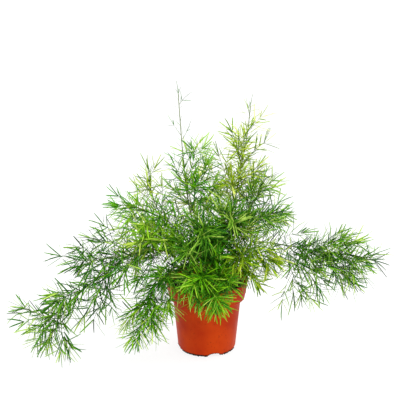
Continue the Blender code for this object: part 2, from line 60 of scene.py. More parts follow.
# The pot, in metres
POT_HEIGHT = 0.106
RIM_RADIUS = 0.060
BAND_HEIGHT = 0.027
BAND_FOOT_RADIUS = 0.0552
BODY_TOP_RADIUS = 0.0496
BODY_FOOT_RADIUS = 0.0425
FOOT_ROUNDING = 0.006
POT_WALL = 0.0013
EDGE_ROUNDING = 0.0005
STEP_ROUNDING = 0.0004
DRAIN_COUNT = 4
DRAIN_TURN = math.radians(15)
DRAIN_WIDTH = 0.019
DRAIN_HEIGHT = 0.006
ARCH_POWER = 0.6
DRAIN_START = 0.018
DRAIN_HOLE_RADIUS = 0.0035
DRAIN_HOLE_PLACE = 0.030
DRAIN_HOLE_REACH = 0.010
MIX_DEPTH_UNDER_RIM = 0.013
MIX_LUMP = 0.0012
TOUCH_GAP = 0.0003

# How finely the round pieces are drawn, and the angles from which their edges look sharp
POT_SIDES = 144
HOLE_SIDES = 24
MIX_SIDES = 120
MIX_RINGS = 44
POT_SHARP_FROM = math.radians(32)
MIX_SHARP_FROM = math.radians(50)
NO_HEIGHT = 1e-5

# Crumbs of mix: how many lie on top, stick to the foot and line one channel's arch as a dark line of painted
# shade under its edge, and how large; how far those on top stay from the wall and rise out of the mix, as a
# share of their size; and their shapes
TOP_CRUMBS = 900
TOP_CRUMB = (0.0006, 0.0022)
FOOT_CRUMBS = 420
FOOT_CRUMB = (0.0004, 0.0012)
ARCH_SHADE_CRUMBS = 40
ARCH_SHADE_CRUMB = (0.0003, 0.0007)
CRUMBS_OFF_WALL = 0.002
CRUMB_RISE = 0.2
CRUMB_STRETCH = (0.6, 1.3)
CRUMB_ROUGHNESS = (0.7, 1.3)
CRUMB_SEED = 7

# The soiled patches of the foot: where their middles are in degrees round the pot, how far they spread,
# between what heights, and how far all crumbs stay from the middle of a channel
SOILED_AT = (218, 232, 246, 258, 312, 326, 50, 78, 130, 160)
SOILED_SPREAD = math.radians(8)
SOILED_HEIGHTS = (0.0008, 0.0036)
SOIL_OFF_CHANNEL = math.radians(15)

# Mix rubbed into the plastic, with painted shade under the rounded foot as well: the heights where the dark
# brown fades out over the foot and sets in under the rim
FOOT_SOIL_AND_SHADE = (0.0018, 0.0045)
RUBBED_RIM = 0.103

# The solids' stems and side branches. Sideways is a direction that no stem goes in
STEM_FOOT = 0.080
BRANCH_BARE = 0.006
BRANCH_LEAN = (34, 58)
BRANCH_SWING = 0.5
BRANCH_FORWARD = 0.35
BRANCH_SAG = 0.16
BRANCH_LENGTHS = (0.80, 1.0)
TIP_SHORTENING = 0.72
GOLDEN_ANGLE = math.radians(137.5)
SIDEWAYS = (0.31, 0.95, 0.05)
BARE_PITCH = 0.013
WHORL_PITCH = 0.024
FIRST_WHORL = 0.4
NEEDLE_LENGTH = 0.024
NEEDLE_ROOT = 0.0024
TIP_BUNDLE = 4
BRANCH_CLEARANCE = 0.0035
BRANCH_TRIES = 14
BRANCH_RETRY_LENGTH = 0.94
BRANCH_SHORTEST = 0.010
BRANCH_RETRY_SWING = 0.2
FLOOR_CLEARANCE = 0.0015
BRANCH_SEED = 100
BRANCH_STEPS = 9

# Finer growth, as shares of the main stem's length: where its needles and its twigs start and the last twig
# stands; the place between inner branches, which lose needles in the shade, and outer ones, and the length
# over which either comes in; and the length over which youth does
NEEDLE_START = 0.43
TWIG_START = 0.45
TWIG_LAST = 0.97
SHADE_END = 0.62
SHADE_FADE = 0.22
YOUTH_FADE = 0.08

# Finer growth: radii where each starts, the share that a stem has lost at its end, how far a line's end
# turns from its start before it counts as curved, the steps, rings and sides that it is drawn with, its
# pointed end in radii, and its twigs
MAIN_RADIUS = 0.0009
BRANCH_RADIUS = 0.0005
TWIG_RADIUS = 0.00034
STEM_TAPER = 0.45
STRAIGHT = 0.05
STEM_STEP = 0.003
STEM_LEAST_RINGS = 5
STEM_POINT = 3
MAIN_SIDES = 8
BRANCH_SIDES = 5
TWIG_STEPS = 12
TWIG_BARE = 0.003
TWIG_SHORTEST = 0.008
TWIG_CLEARANCE = 0.002
TWIG_LEAN = (36, 64)
TWIG_SWING = 0.6
MAIN_TWIG_LENGTHS = (0.42, 0.9)
BRANCH_TWIG_LENGTHS = (0.35, 0.75)
BRANCH_TWIG_PLACES = (0.2, 0.85)

# Needles: full width, spread of length, degrees from the stem, and how near the pot and the box they come
NEEDLE_WIDTH = (0.0012, 0.0019)
NEEDLE_LENGTHS = (0.8, 1.4)
NEEDLE_LEAN = (46, 88)
TIP_NEEDLE_LEAN = (22, 60)
NEEDLE_CLEARANCE = 0.0012
BOX_CLEARANCE = 0.0028
NEEDLE_SEED = 300

# Needles: how much their turn and roll vary, in radians; the shares by which they lean forward and are
# shorter at a stem's end; and their curl to either side, to either face and down, as shares of their length
TURN_SPREAD = 0.35
ROLL_SPREAD = 0.5
END_FORWARD = 0.34
END_SHORTER = 0.10
SIDE_CURL = 0.09
FACE_CURL = (-0.12, 0.14)
DOWN_CURL = 0.04

# Young growth: the shares by which its needles are shorter, narrower and fewer, and by which its last
# needle and its twigs are shorter; how much darker it is in age; and the least young share that counts
YOUNG_SHORTER = 0.5
YOUNG_NARROWER = 0.55
YOUNG_FEWER = 0.7
YOUNG_LAST_SHORTER = 0.2
YOUNG_TWIG_SHORTER = 0.45
YOUNG_DARKER = 0.35
YOUNG_LEAST = 0.05

# Ages run from 0, darkest, to 1, palest: what each starts with, how much paler it gets outwards, how much
# it varies, how far apart single needles are, and how much paler a needle's own point is. Growing paler
# outwards and towards a needle's point is partly painted shade, which keeps the inside of the plant darker
MAIN_AGE = 0.05
BRANCH_AGE = 0.02
BRANCH_AGE_SPREAD = 0.12
TWIG_AGE = 0.08
TWIG_PALER = 0.65
END_PALER = 0.10
AGE_SPREAD = 0.10
OWN_SPREAD = 0.76
POINT_PALER = 0.05


class Frond(NamedTuple):
    """One frond: the points of its main stem, how it branches, and how full it is.

    branches, reach, bare, young, route and sprays are those of the solid; points are in millimetres, and
    other lengths in metres. A spray is a long side branch: where it leaves the main stem, as a share of its
    length, and its points. twigs is the number of finer side twigs on the main stem for each branch, and
    fine the distance between those on a branch. shade and outer are the shares of needles that its inner and
    its outer branches have lost. pitch is the distance between two bundles of needles, core what it is
    multiplied by on the main stem, and bundle the needles in one. needle and wide are their length and width
    against the usual ones, tint how much paler their green is, and paler how much more so at its end.
    """
    name: str
    slot: str
    branches: int
    reach: float
    bare: float
    young: float
    route: list
    sprays: list = []
    twigs: float = 0.8
    fine: float = 0.018
    shade: float = 0.75
    outer: float = 0.0
    pitch: float = 0.0058
    core: float = 1.0
    bundle: int = 3
    needle: float = 1.0
    wide: float = 1.0
    tint: float = 0.0
    # paler is partly painted shade, which keeps the inside of the frond darker than its end
    paler: float = 0.46


FRONDS = [
    Frond("frond_left_long", "deep_green", 9, 0.066, 0.28, 0.02, [
        (-15, -6, 94), (-44, -26, 146), (-79, -46, 166), (-114, -61, 157), (-148, -70, 134),
        (-181, -76, 107), (-216, -78, 80), (-253, -76, 92)],
        sprays=[
            (0.42, [(-150, -56, 153), (-176, -54, 153), (-202, -52, 158)]),
            (0.54, [(-149, -88, 126), (-151, -95, 113)]),
            (0.72, [(-195, -84, 82), (-199, -90, 58), (-190, -94, 40)]),
            (0.84, [(-227, -68, 60), (-238, -62, 36)]), (0.3, [(-134, -46, 176), (-160, -42, 180)])],
        twigs=0.9, shade=0.3, outer=0.25, pitch=0.0088, wide=1.1, tint=0.13),
    Frond("frond_left_low", "fresh_green", 9, 0.05, 0.25, 0.02, [
        (-16, -14, 94), (-41, -34, 138), (-61, -52, 138), (-73, -66, 120), (-81, -74, 92), (-90, -78, 66),
        (-96, -78, 46)],
        sprays=[
            (0.48, [(-59, -76, 116), (-52, -86, 94)])],
        twigs=0.4, shade=0.0, outer=0.7, core=0.45, pitch=0.006, bundle=4, tint=0.14),
    Frond("frond_left_near", "fresh_green", 7, 0.046, 0.3, 0.03, [
        (-15, 3, 94), (-44, -8, 154), (-69, -20, 170), (-88, -30, 165), (-102, -36, 148)],
        twigs=1.2, shade=0.2, core=0.8, pitch=0.0038, wide=1.15, tint=0.44),
    Frond("frond_left_mid", "fresh_green", 8, 0.054, 0.22, 0.02, [
        (-9, 5, 94), (-36, -4, 163), (-66, -14, 200), (-95, -22, 218), (-122, -26, 224)],
        twigs=0.3, pitch=0.0068, wide=1.1, tint=0.08),
    Frond("frond_left_high", "yellow_green", 8, 0.05, 0.24, 0.03, [
        (-8, 14, 94), (-39, 18, 150), (-62, 22, 185), (-78, 24, 221), (-84, 24, 262)],
        twigs=0.5, pitch=0.0064, wide=0.9),
    Frond("frond_tall_left", "fresh_green", 8, 0.05, 0.2, 0.4, [
        (-3, 6, 94), (-18, 6, 174), (-28, 5, 228), (-33, 5, 275), (-37, 5, 328), (-40, 5, 374)],
        sprays=[
            (0.58, [(-21, 2, 274), (-13, 0, 308)]), (0.5, [(-12, -4, 248), (3, -8, 276)]),
            (0.4, [(-2, 10, 222), (14, 12, 246)])],
        twigs=0.7, fine=0.008, shade=0.95, pitch=0.0059, wide=0.95, paler=0.2, tint=0.08),
    Frond("frond_tall_right", "yellow_green", 8, 0.052, 0.2, 0.1, [
        (8, 9, 94), (22, 10, 164), (38, 11, 213), (47, 12, 263), (56, 12, 314), (60, 12, 355)],
        sprays=[
            (0.7, [(41, 6, 302), (34, 2, 322)]), (0.68, [(67, 17, 292), (81, 21, 302)]),
            (0.44, [(27, 20, 252), (17, 26, 282)]), (0.45, [(58, 16, 240), (72, 18, 266)])],
        twigs=0.7, pitch=0.0051, wide=0.9, paler=-0.1, tint=0.4),
    Frond("frond_right_high", "deep_green", 8, 0.054, 0.22, 0.03, [
        (15, 1, 94), (34, -3, 160), (55, -7, 203), (70, -8, 232), (79, -8, 256)],
        twigs=0.6, pitch=0.0055, wide=0.95, tint=0.2),
    Frond("frond_right_long", "deep_green", 9, 0.058, 0.4, 0.02, [
        (16, -8, 94), (44, -22, 150), (76, -34, 171), (115, -42, 169), (156, -47, 163), (195, -49, 158),
        (231, -48, 150)],
        sprays=[
            (0.43, [(110, -50, 145), (125, -54, 119), (143, -56, 96)]),
            (0.51, [(136, -62, 140), (157, -70, 112)]), (0.64, [(178, -60, 142), (198, -66, 124)]),
            (0.6, [(172, -38, 174), (196, -32, 180)])],
        twigs=1.0, shade=1.0, outer=0.3, pitch=0.0051, tint=0.14),
    Frond("frond_right_rear", "fresh_green", 6, 0.046, 0.28, 0.03, [
        (13, 10, 94), (44, 14, 150), (68, 20, 182), (89, 26, 195), (108, 28, 198)],
        pitch=0.0095, tint=0.1),
    Frond("frond_front", "fresh_green", 9, 0.046, 0.3, 0.02, [
        (1, -16, 94), (1, -36, 134), (1, -58, 142), (2, -80, 132), (3, -100, 114)],
        sprays=[
            (0.52, [(8, -70, 158), (14, -84, 170)])],
        shade=0.3, pitch=0.0039, bundle=4, wide=1.05),
    Frond("frond_front_left", "deep_green", 6, 0.04, 0.34, 0.03, [
        (-8, -18, 94), (-18, -42, 134), (-29, -64, 146), (-37, -80, 138), (-42, -92, 122)],
        shade=0.5, pitch=0.0082, paler=0.3, tint=0.26),
    Frond("frond_front_right", "yellow_green", 7, 0.046, 0.24, 0.03, [
        (10, -14, 94), (29, -36, 146), (53, -56, 165), (75, -68, 165), (93, -74, 156)],
        sprays=[
            (0.46, [(50, -66, 146), (64, -78, 132)])],
        shade=0.2, outer=0.8, pitch=0.0035, wide=0.95, tint=-0.04),
    Frond("frond_centre_left", "deep_green", 7, 0.048, 0.22, 0.03, [
        (-6, -8, 94), (-10, -28, 148), (-10, -50, 186), (-5, -78, 207)],
        shade=0.3, core=0.7, pitch=0.0034, needle=1.1, paler=0.2, tint=0.2),
    Frond("frond_centre_right", "deep_green", 7, 0.052, 0.22, 0.03, [
        (6, -6, 94), (18, -26, 156), (28, -38, 196), (34, -46, 220)],
        shade=0.3, core=0.7, pitch=0.0035, needle=1.1, paler=0.2, tint=0.22),
    Frond("frond_back_left", "deep_green", 6, 0.058, 0.28, 0.03, [
        (-14, 13, 94), (-44, 42, 148), (-76, 70, 166), (-106, 92, 158), (-130, 106, 136)],
        twigs=0.5, pitch=0.011, tint=0.3),
    Frond("frond_back", "fresh_green", 6, 0.056, 0.28, 0.03, [
        (1, 20, 94), (4, 54, 158), (2, 92, 190), (-2, 126, 194), (-6, 154, 178)],
        twigs=0.4, pitch=0.014, tint=0.3),
    Frond("frond_back_right", "deep_green", 6, 0.052, 0.28, 0.03, [
        (13, 17, 94), (41, 46, 152), (70, 74, 178), (92, 96, 178), (109, 112, 161)],
        twigs=0.6, pitch=0.0105, tint=0.2),
    Frond("frond_rear_left", "yellow_green", 6, 0.05, 0.22, 0.04, [
        (-6, 22, 94), (-16, 50, 172), (-28, 76, 220), (-34, 94, 248)],
        twigs=0.4, pitch=0.0135, tint=0.14),
    Frond("frond_rear_right", "fresh_green", 7, 0.052, 0.22, 0.04, [
        (7, 24, 94), (22, 54, 172), (42, 80, 222), (54, 98, 246)],
        twigs=0.6, pitch=0.0115, tint=0.36),
]


# The rule that the solids grow by

def metres(points):
    """Points in millimetres turned to metres."""
    return [tuple(value / 1000 for value in point) for point in points]


def smooth_line(points):
    """A fine line on the smooth curve (Catmull-Rom) through the given points."""
    knots = np.array(points)
    knots = np.vstack([2 * knots[0] - knots[1], knots, 2 * knots[-1] - knots[-2]])
    t = np.linspace(0, 1, 16, endpoint=False)[:, None]
    pieces = []
    for a, b, c, d in zip(knots, knots[1:], knots[2:], knots[3:]):
        pieces.append(0.5 * (2 * b + (c - a) * t + (2 * a - 5 * b + 4 * c - d) * t ** 2
                             + (3 * b - a - 3 * c + d) * t ** 3))
    return np.vstack(pieces + [knots[-2:-1]])


def curved_line(place, start, bend, length, steps):
    """A line that leaves a place in one direction; its bend grows with the square of the way gone."""
    t = np.linspace(0, 1, steps)[:, None]
    return place + length * (t * start + t ** 2 * bend)


def marks_along(line):
    """How far each point of a line is from its start, along the line."""
    steps = np.linalg.norm(np.diff(line, axis=0), axis=1)
    return np.concatenate([[0.0], np.cumsum(steps)])


class Stem:
    """A stem of the solids: rings on a smooth line, two of them at each whorl, and straight runs between."""

    def __init__(self, line, bare):
        lengths = marks_along(line)
        self.line = line
        self.length = lengths[-1]
        room = self.length - bare
        count = max(1, round(room / WHORL_PITCH))
        whorls = bare + room * (np.arange(count) + FIRST_WHORL) / count
        foot = np.arange(0.0, whorls[0] - BARE_PITCH / 2, BARE_PITCH)
        pairs = (whorls[:, None] + np.array([-0.5, 0.5]) * NEEDLE_ROOT).ravel()
        self.distances = np.concatenate([foot, pairs, [self.length]])
        self.rings = np.stack([np.interp(self.distances, lengths, line[:, k]) for k in range(3)], axis=1)
        ahead = np.gradient(self.rings, axis=0)
        self.ahead = ahead / np.linalg.norm(ahead, axis=1)[:, None]
        self.across = np.zeros_like(self.ahead)
        side = np.cross(self.ahead[0], SIDEWAYS)
        for i, direction in enumerate(self.ahead):
            side = side - direction * side.dot(direction)
            side /= np.linalg.norm(side)
            self.across[i] = side
        self.upright = np.cross(self.ahead, self.across)

    def at(self, distance):
        """The points at some distances along the straight runs between the rings."""
        return np.stack([np.interp(distance, self.distances, self.rings[:, k]) for k in range(3)], axis=-1)

    def end_needle(self):
        """The tip of the needle that the stem ends in."""
        last = self.rings[-1] - self.rings[-2]
        return self.rings[-1] + last / np.linalg.norm(last) * NEEDLE_LENGTH


class Thicket:
    """What has been placed so far, as straight pieces, for keeping new growth clear of it."""

    def __init__(self):
        self.starts = np.zeros((0, 3))
        self.ends = np.zeros((0, 3))

    def add(self, line):
        """Remember a line of points as straight pieces."""
        self.starts = np.vstack([self.starts, line[:-1]])
        self.ends = np.vstack([self.ends, line[1:]])

    def distance(self, points):
        """The least distance from any of the points to anything placed."""
        run = self.ends - self.starts
        offset = points[:, None, :] - self.starts[None]
        share = np.einsum("ijk,jk->ij", offset, run) / np.einsum("jk,jk->j", run, run)
        nearest = self.starts + np.clip(share, 0, 1)[..., None] * run
        return np.linalg.norm(points[:, None, :] - nearest, axis=2).min()


def off_the_pot(points, gap):
    """For each point: whether it is outside the pot or above the mix, and above what the pot stands on."""
    radius = np.hypot(points[..., 0], points[..., 1])
    height = points[..., 2]
    band = height > POT_HEIGHT - BAND_HEIGHT - gap
    outside = radius > np.where(band, RIM_RADIUS, BODY_TOP_RADIUS) + gap
    above_rim = height > POT_HEIGHT + gap
    over_mix = height > POT_HEIGHT - MIX_DEPTH_UNDER_RIM + MIX_LUMP + gap
    inside = over_mix & (radius < BAND_FOOT_RADIUS - gap)
    return (outside | above_rim | inside) & (height > FLOOR_CLEARANCE)


def grow_sprays(frond, main, thicket):
    """The long side branches, each on a smooth curve from the main stem through its points."""
    sprays = []
    for share, points in frond.sprays:
        spray = Stem(smooth_line([tuple(main.at(share * main.length))] + metres(points)), BRANCH_BARE)
        thicket.add(np.vstack([spray.rings, spray.end_needle()]))
        sprays.append(spray)
    return sprays


def grow_branches(frond, main, thicket, rng):
    """Side branches, each turned a golden angle further round the main stem than the last."""
    branches = []
    first = frond.bare * main.length
    last = (1 - frond.young) * main.length
    spots = np.linspace(0, 1, BRANCH_STEPS)[2:]
    for i in range(frond.branches):
        share = (i + 0.5) / frond.branches
        distance = first + (last - first) * share
        place = main.at(distance)
        ring = np.searchsorted(main.distances, distance) - 1
        ahead = main.ahead[ring]
        bend = BRANCH_FORWARD * ahead - np.array([0.0, 0.0, BRANCH_SAG])
        length = frond.reach * (1 - TIP_SHORTENING * share ** 2) * rng.uniform(*BRANCH_LENGTHS)
        for attempt in range(BRANCH_TRIES):
            swing = BRANCH_SWING + BRANCH_RETRY_SWING * attempt
            turn = i * GOLDEN_ANGLE + rng.uniform(-swing, swing)
            lean = math.radians(rng.uniform(*BRANCH_LEAN))
            outward = main.across[ring] * math.cos(turn) + main.upright[ring] * math.sin(turn)
            start = ahead * math.cos(lean) + outward * math.sin(lean)
            branch = Stem(curved_line(place, start, bend, length, BRANCH_STEPS), BRANCH_BARE)
            tip = branch.end_needle()
            probe = np.vstack([branch.at(branch.length * spots), (branch.rings[-1] + tip) / 2, tip])
            if off_the_pot(probe, BRANCH_CLEARANCE).all() and thicket.distance(probe) > BRANCH_CLEARANCE:
                branches.append(branch)
                thicket.add(np.vstack([branch.rings, tip]))
                break
            length = max(length * BRANCH_RETRY_LENGTH, BRANCH_SHORTEST)
    return branches


# What the solids leave out

def youth_near_tip(share, young):
    """How young a stem is at a share of its length, from 0 to 1, where a share at its end is young."""
    return np.clip((share - 1 + young) / YOUTH_FADE, 0, 1)


class Shoot:
    """A stem, branch or twig as it really grows: a fine line, with a direction and two crosswise ones.

    The crosswise directions come from one fixed one: square to the plane that the line curves in, or to
    the line itself where it is all but straight.
    """

    def __init__(self, line, bare, thick, age_and_shade, youth=0.0, young=0.0, shade=0.0):
        self.marks = marks_along(line)
        self.line = line
        self.length = self.marks[-1]
        self.bare = bare
        self.thick = thick
        self.age_and_shade = age_and_shade
        self.youth = youth
        self.young = young
        self.shade = shade

    def youth_at(self, distance):
        """How young the shoot is at a distance, from 0 to 1: all of it, or a share at its end."""
        tip = youth_near_tip(distance / self.length, self.young) * (self.young > YOUNG_LEAST)
        return np.maximum(self.youth, tip)

    def along(self, distance):
        """Points, directions and two crosswise directions at some distances."""
        points = np.stack([np.interp(distance, self.marks, self.line[:, k]) for k in range(3)], axis=-1)
        slope = np.gradient(self.line, self.marks, axis=0)
        ahead = np.stack([np.interp(distance, self.marks, slope[:, k]) for k in range(3)], axis=-1)
        ahead /= np.linalg.norm(ahead, axis=-1, keepdims=True)
        whole = self.line[-1] - self.line[0]
        square = np.cross(slope[0], slope[-1])
        if np.linalg.norm(square) < STRAIGHT:
            square = np.cross(whole, SIDEWAYS)
        across = square - ahead * (ahead @ square)[..., None]
        across /= np.linalg.norm(across, axis=-1, keepdims=True)
        return points, ahead, across, np.cross(ahead, across)


def grow_twigs(frond, main, branches, rng):
    """Finer side twigs: on the main stem between its branches, and on the longer branches themselves."""
    twigs = []
    count = round(frond.branches * frond.twigs)
    first = max(frond.bare, TWIG_START) * main.length
    for i in range(count):
        share = (i + rng.uniform(0, 1)) / count
        distance = first + (TWIG_LAST * main.length - first) * share
        youth = float(youth_near_tip(distance / main.length, frond.young))
        length = (frond.reach * (1 - TIP_SHORTENING * share ** 2) * rng.uniform(*MAIN_TWIG_LENGTHS)
                  * (1 - YOUNG_TWIG_SHORTER * youth))
        twigs.append(side_twig(frond, main, distance, (i + 0.5) * GOLDEN_ANGLE, length,
                               main.youth_at(distance), rng))
    for branch in branches:
        for i in range(int(branch.length / frond.fine)):
            distance = branch.length * rng.uniform(*BRANCH_TWIG_PLACES)
            length = (branch.length - distance) * rng.uniform(*BRANCH_TWIG_LENGTHS)
            twigs.append(side_twig(frond, branch, distance, i * GOLDEN_ANGLE, length, 0.0, rng))
    return [twig for twig in twigs
            if twig.length > TWIG_SHORTEST and off_the_pot(twig.line[3:], TWIG_CLEARANCE).all()]


def side_twig(frond, parent, distance, turn, length, youth, rng):
    """One twig: it leaves its parent at 36 to 64 degrees, near that turn, and bends forward and down."""
    place, ahead, across, upright = parent.along(distance)
    turn += rng.uniform(-TWIG_SWING, TWIG_SWING)
    lean = math.radians(rng.uniform(*TWIG_LEAN))
    outward = across * math.cos(turn) + upright * math.sin(turn)
    start = ahead * math.cos(lean) + outward * math.sin(lean)
    bend = BRANCH_FORWARD * ahead - np.array([0.0, 0.0, BRANCH_SAG])
    # Twigs further along their parent are paler: partly painted shade, which keeps the inside of the plant
    # darker
    age_and_shade = (parent.age_and_shade + TWIG_AGE + TWIG_PALER * frond.paler * (distance / parent.length) ** 2
           + rng.normal(0, AGE_SPREAD))
    line = curved_line(place, start, bend, length, TWIG_STEPS)
    return Shoot(line, TWIG_BARE, TWIG_RADIUS, age_and_shade, youth, shade=parent.shade)


def needle_beds(frond, shoot, pitch, rng):
    """Where a shoot's needles stand: arrays of root, direction, way out, length, age with painted shade, and
    youth.

    Bundles follow each other at the pitch, each a golden angle further round. A needle leaves its stem at
    46 to 88 degrees; towards the tip it leans forward and is shorter. The last bundle closes the tip: one
    needle goes straight on and the rest stand round it at 22 to 60 degrees. Where the shoot is young, the
    needles are fewer, shorter and darker, and in the shade they are fewer.
    """
    room = shoot.length - shoot.bare
    count = max(2, int(room / pitch))
    share = (np.arange(count) + rng.uniform(0.2, 0.8, count)) / count
    distance = np.append(np.repeat(shoot.bare + room * share, frond.bundle), [shoot.length] * TIP_BUNDLE)
    share = distance / shoot.length
    total = len(distance)
    place, ahead, across, upright = shoot.along(distance)
    turn = np.append(np.repeat(np.arange(count) * GOLDEN_ANGLE, frond.bundle)
                     + np.tile(np.arange(frond.bundle) * 2 * np.pi / frond.bundle, count),
                     np.arange(TIP_BUNDLE) * 2 * np.pi / (TIP_BUNDLE - 1))
    turn += rng.normal(0, TURN_SPREAD, total)
    lean = np.radians(rng.uniform(*NEEDLE_LEAN, total)) * (1 - END_FORWARD * share ** 3)
    lean[-TIP_BUNDLE:] = np.radians(rng.uniform(*TIP_NEEDLE_LEAN, TIP_BUNDLE))
    lean[-1] = 0.0
    outward = across * np.cos(turn)[:, None] + upright * np.sin(turn)[:, None]
    direction = ahead * np.cos(lean)[:, None] + outward * np.sin(lean)[:, None]
    youth = shoot.youth_at(distance)
    length = NEEDLE_LENGTH * frond.needle * rng.uniform(*NEEDLE_LENGTHS, total)
    length *= 1 - END_SHORTER * share ** 4
    length *= 1 - YOUNG_SHORTER * youth
    length[-1] = NEEDLE_LENGTH * (1 - YOUNG_LAST_SHORTER * youth[-1])
    # Needles near a shoot's end are paler: partly painted shade, which keeps the inside of the plant darker
    age_and_shade = (shoot.age_and_shade + frond.tint + END_PALER * share ** 2 - YOUNG_DARKER * youth
           + rng.normal(0, AGE_SPREAD, total))
    kept = rng.uniform(0, 1, total) > YOUNG_FEWER * youth + shoot.shade
    kept[-TIP_BUNDLE:] = rng.uniform(0, 1) > shoot.shade
    return [values[kept] for values in (place, direction, outward, length, age_and_shade, youth)]


NO_QUADS = np.zeros((0, 4), dtype=int)
NO_TRIANGLES = np.zeros((0, 3), dtype=int)


def mesh_from(name, points, quads, triangles, attributes):
    """A mesh from arrays of points, four-sided and three-sided faces, and values for each point."""
    mesh = bpy.data.meshes.new(name)
    mesh.vertices.add(len(points))
    mesh.vertices.foreach_set("co", np.ascontiguousarray(points, dtype=np.float32).ravel())
    loops = np.concatenate([quads.ravel(), triangles.ravel()]).astype(np.int32)
    starts = np.concatenate([np.arange(len(quads)) * 4, len(quads) * 4 + np.arange(len(triangles)) * 3])
    mesh.loops.add(len(loops))
    mesh.loops.foreach_set("vertex_index", loops)
    mesh.polygons.add(len(starts))
    mesh.polygons.foreach_set("loop_start", starts.astype(np.int32))
    mesh.update(calc_edges=True)
    mesh.validate()
    for key, values in attributes.items():
        layer = mesh.attributes.new(key, "FLOAT", "POINT")
        layer.data.foreach_set("value", np.ascontiguousarray(values, dtype=np.float32).ravel())
    mesh.shade_smooth()
    thing = bpy.data.objects.new(name, mesh)
    bpy.context.scene.collection.objects.link(thing)
    return thing


def tube_quads(rings, sides):
    """The four-sided faces between rings of points that follow each other."""
    ring, place = np.meshgrid(np.arange(rings - 1), np.arange(sides), indexing="ij")
    after = (place + 1) % sides
    near, far = ring * sides, (ring + 1) * sides
    return np.stack([near + place, near + after, far + after, far + place], axis=-1).reshape(-1, 4)


def tip_triangles(start, sides, tip):
    """The three-sided faces from the ring of points that begins at start to the one point at its tip."""
    place = np.arange(sides)
    return np.stack([start + place, start + (place + 1) % sides, np.full(sides, tip)], axis=-1)


# A needle's stations along its length: how wide it is there, as a share of its full width
NEEDLE_STATIONS = np.array([0.0, 0.28, 0.68, 0.93])
NEEDLE_WIDTHS = np.array([0.50, 1.0, 0.94, 0.62])
NEEDLE_THICKNESS = 0.30


def needles(name, place, direction, outward, length, age_and_shade, youth, wide, rng):
    """All the needles of one frond, as curved lens-shaped blades that end in a point.

    The middle line goes from the root along the needle's direction by its length, and a small curl to
    either side, to either face and down grows on it with the square of the way gone. Around it stand four
    corners at each station, a flat pair half a width away and a keel pair three tenths of that away.
    """
    total = len(place)
    side = np.cross(direction, outward)
    side /= np.linalg.norm(side, axis=1, keepdims=True)
    roll = rng.normal(0, ROLL_SPREAD, total)[:, None]
    face = np.cross(side, direction)
    flat = side * np.cos(roll) + face * np.sin(roll)
    keel = np.cross(direction, flat)
    curl = (flat * rng.normal(0, SIDE_CURL, (total, 1)) - keel * rng.uniform(*FACE_CURL, (total, 1))
            - np.array([0, 0, DOWN_CURL]))
    t = NEEDLE_STATIONS[None, :, None]
    middle = place[:, None] + length[:, None, None] * (t * direction[:, None] + t ** 2 * curl[:, None])
    width = rng.uniform(*NEEDLE_WIDTH, total) * wide * (1 - YOUNG_NARROWER * youth)
    half = 0.5 * width[:, None, None] * NEEDLE_WIDTHS[None, :, None]
    thick = NEEDLE_THICKNESS * half
    corners = np.stack([middle + half * flat[:, None], middle + thick * keel[:, None],
                        middle - half * flat[:, None], middle - thick * keel[:, None]], axis=2)
    tip = place + length[:, None] * (direction + curl)
    stations = len(NEEDLE_STATIONS)
    each = stations * 4 + 1
    points = np.concatenate([corners.reshape(total, -1, 3), tip[:, None]], axis=1).reshape(-1, 3)
    start = np.arange(total)[:, None, None] * each
    quads = np.vstack([tube_quads(stations, 4), [[3, 2, 1, 0]]])
    quads = (quads[None] + start).reshape(-1, 4)
    triangles = (tip_triangles(stations * 4 - 4, 4, each - 1)[None] + start).reshape(-1, 3)
    along = np.concatenate([np.repeat(NEEDLE_STATIONS, 4), [1.0]])
    return mesh_from(name, points, quads, triangles, {
        "along": np.tile(along, total),
        "age_and_shade": np.repeat(age_and_shade, each),
        "tone": np.repeat(rng.uniform(0, 1, total), each)})


def stems(name, shoots):
    """All the stems of one frond, as tapering tubes that close in a point at the end.

    Each ring is a circle round the line, square to it. Its radius falls evenly from the shoot's own to a
    little over half of that at its end.
    """
    points, quads, triangles, age_and_shade = [], [], [], []
    start = 0
    for shoot in shoots:
        sides = MAIN_SIDES if shoot.thick == MAIN_RADIUS else BRANCH_SIDES
        count = max(STEM_LEAST_RINGS, int(shoot.length / STEM_STEP))
        distance = np.linspace(0, shoot.length, count)
        place, ahead, across, upright = shoot.along(distance)
        radius = shoot.thick * (1 - STEM_TAPER * distance / shoot.length)
        angle = 2 * np.pi * np.arange(sides) / sides
        ring = across[:, None] * np.cos(angle)[:, None] + upright[:, None] * np.sin(angle)[:, None]
        tip = place[-1] + ahead[-1] * radius[-1] * STEM_POINT
        points.append((place[:, None] + ring * radius[:, None, None]).reshape(-1, 3))
        points.append(tip[None])
        quads.append(start + tube_quads(count, sides))
        triangles.append(start + tip_triangles((count - 1) * sides, sides, count * sides))
        fan = np.arange(1, sides - 1)
        triangles.append(start + np.stack([np.zeros_like(fan), fan + 1, fan], axis=-1))
        age_and_shade.append(np.full(count * sides + 1, shoot.age_and_shade))
        start += count * sides + 1
    return mesh_from(name, np.vstack(points), np.vstack(quads), np.vstack(triangles),
                     {"age_and_shade": np.concatenate(age_and_shade)})


# The pot and what is in it

def turned(name, profile, sides):
    """A closed form turned round Z from a profile of (radius, height) that runs from axis to axis.

    Each inner point of the profile makes a circle of its radius at its height; the two ends are poles.
    """
    profile = np.array(profile)
    rings = profile[1:-1]
    count = len(rings)
    angle = 2 * np.pi * np.arange(sides) / sides
    circle = np.stack([np.cos(angle), np.sin(angle)], axis=-1)
    points = np.concatenate([rings[:, None, :1] * circle[None],
                             np.broadcast_to(rings[:, None, 1:], (count, sides, 1))], axis=-1).reshape(-1, 3)
    poles = np.array([[0, 0, profile[0, 1]], [0, 0, profile[-1, 1]]])
    under = tip_triangles(0, sides, count * sides)[:, ::-1]
    over = tip_triangles((count - 1) * sides, sides, count * sides + 1)
    points = np.vstack([points, poles])
    return mesh_from(name, points, tube_quads(count, sides), np.vstack([under, over]), {})


